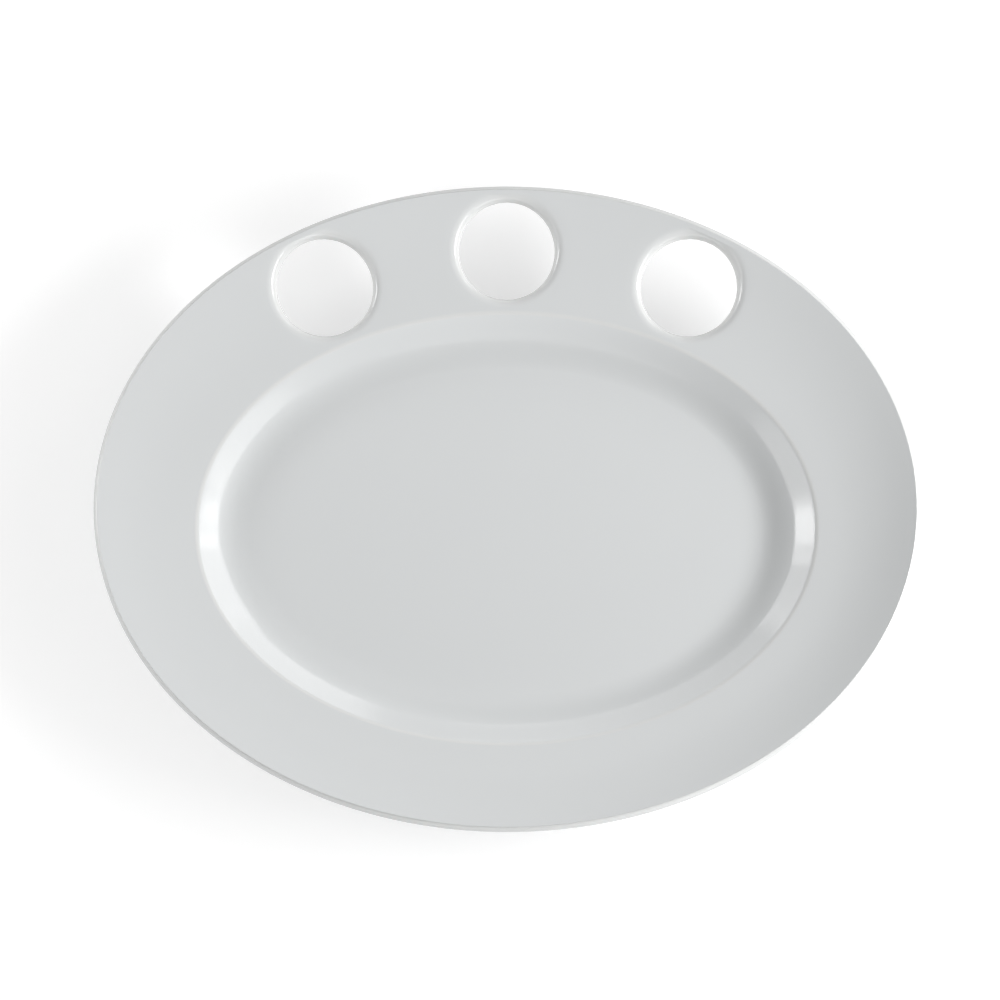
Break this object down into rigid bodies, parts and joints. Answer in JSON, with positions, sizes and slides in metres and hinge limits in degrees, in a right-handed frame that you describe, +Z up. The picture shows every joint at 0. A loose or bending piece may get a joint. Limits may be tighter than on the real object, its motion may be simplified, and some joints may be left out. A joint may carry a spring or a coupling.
{
  "type": "oval serving platter",
  "caption": "Oval porcelain serving platter with a sunk well, a wide rim, a foot ring and round cup holes through the back of the rim.",
  "frame": {"origin": "under the middle of the outer oval, on the plane that the foot ring stands on", "axes": "+X along the platter's length, +Y to the back where the cup holes are, +Z up out of the well"},
  "size_m": [0.356, 0.284, 0.029],
  "materials": {
    "bare_porcelain": "unglazed, fine and matte, shows only on the foot ring",
    "white_glaze": "plain white gloss glaze"
  },
  "bodies": {
    "root": {"porcelain_body": "bare_porcelain", "outer_glaze": "white_glaze", "base_glaze": "white_glaze"}
  },
  "joints": []
}
